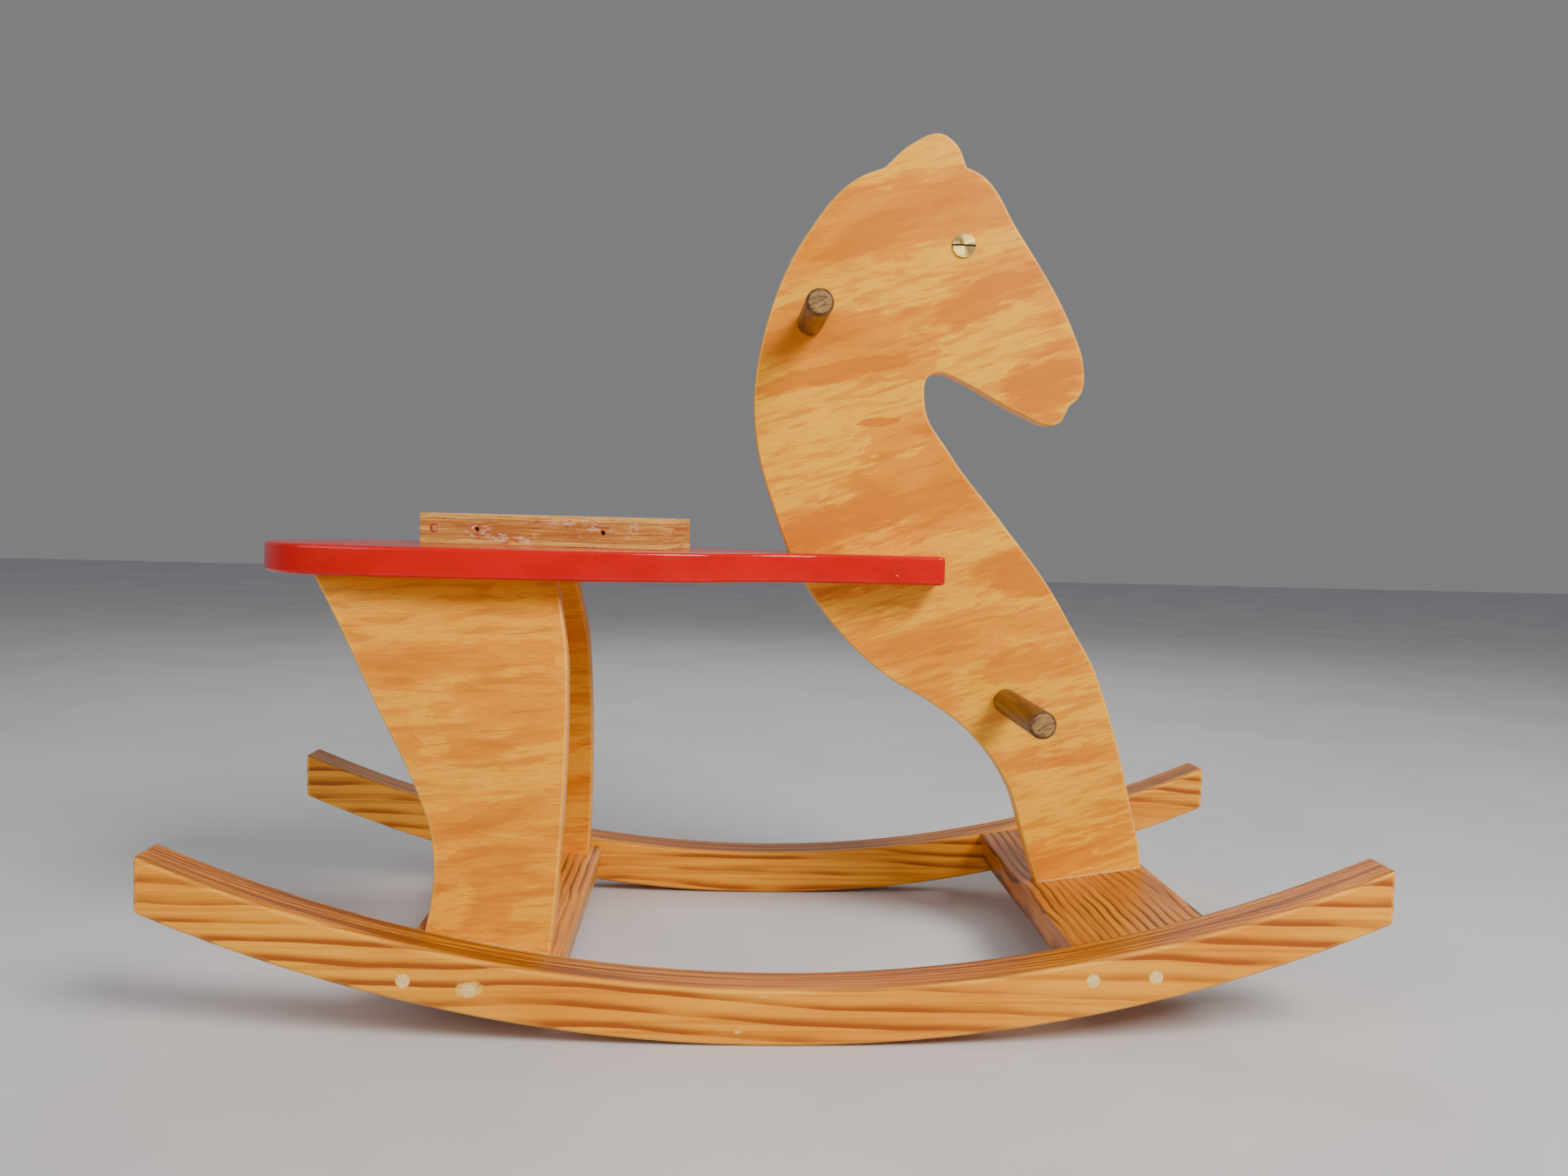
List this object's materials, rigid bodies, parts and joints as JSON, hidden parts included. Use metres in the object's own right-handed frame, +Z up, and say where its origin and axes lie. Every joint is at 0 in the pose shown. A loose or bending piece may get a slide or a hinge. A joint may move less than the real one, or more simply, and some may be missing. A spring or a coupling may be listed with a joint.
{
  "type": "rocking horse",
  "caption": "Wooden child's rocking horse: flat plywood head and legs, forked painted seat, dowel handle and footrest, curved pine rockers.",
  "frame": {"origin": "on the floor at the middle of the bounding box: the lowest line of the rockers, halfway between them and halfway along them", "axes": "+X towards the horse's head, along the rockers; +Y towards the horse's left; +Z up"},
  "size_m": [0.9, 0.41, 0.7062],
  "materials": {
    "rocker_pine": "varnished",
    "front_board_pine": "varnished",
    "rear_board_pine": "varnished",
    "panel_ply": "varnished",
    "leg_ply": "varnished",
    "seat_lacquer": "gloss paint",
    "dowel_walnut": "stained satin",
    "block_ply": "raw, with paint marks",
    "plug_filler": "sanded",
    "eye_brass": "turned",
    "screw_steel": "zinc plated"
  },
  "bodies": {
    "horse": {"rocker_right": "rocker_pine", "rocker_left": "rocker_pine", "front_crossboard": "front_board_pine", "rear_crossboard": "rear_board_pine", "rocker_screws": "screw_steel", "rocker_plugs": "plug_filler", "head_panel": "panel_ply", "neck_foot_screws": "screw_steel", "leg_right": "leg_ply", "leg_left": "leg_ply", "leg_foot_screws": "screw_steel", "seat_board": "seat_lacquer", "seat_leg_screws": "screw_steel", "seat_leg_fillers": "seat_lacquer", "fork_screws": "screw_steel", "fork_fillers": "seat_lacquer", "handle_dowel": "dowel_walnut", "footrest_dowel": "dowel_walnut", "eye_bolt": "eye_brass", "eye_nut": "eye_brass"},
    "block": {"seat_block": "block_ply", "block_plug": "plug_filler"}
  },
  "joints": [
    {"name": "block_lift", "type": "slide", "parent": "horse", "child": "block", "axis": [0, 0, 1], "range_m": [0, 0.1]}
  ]
}
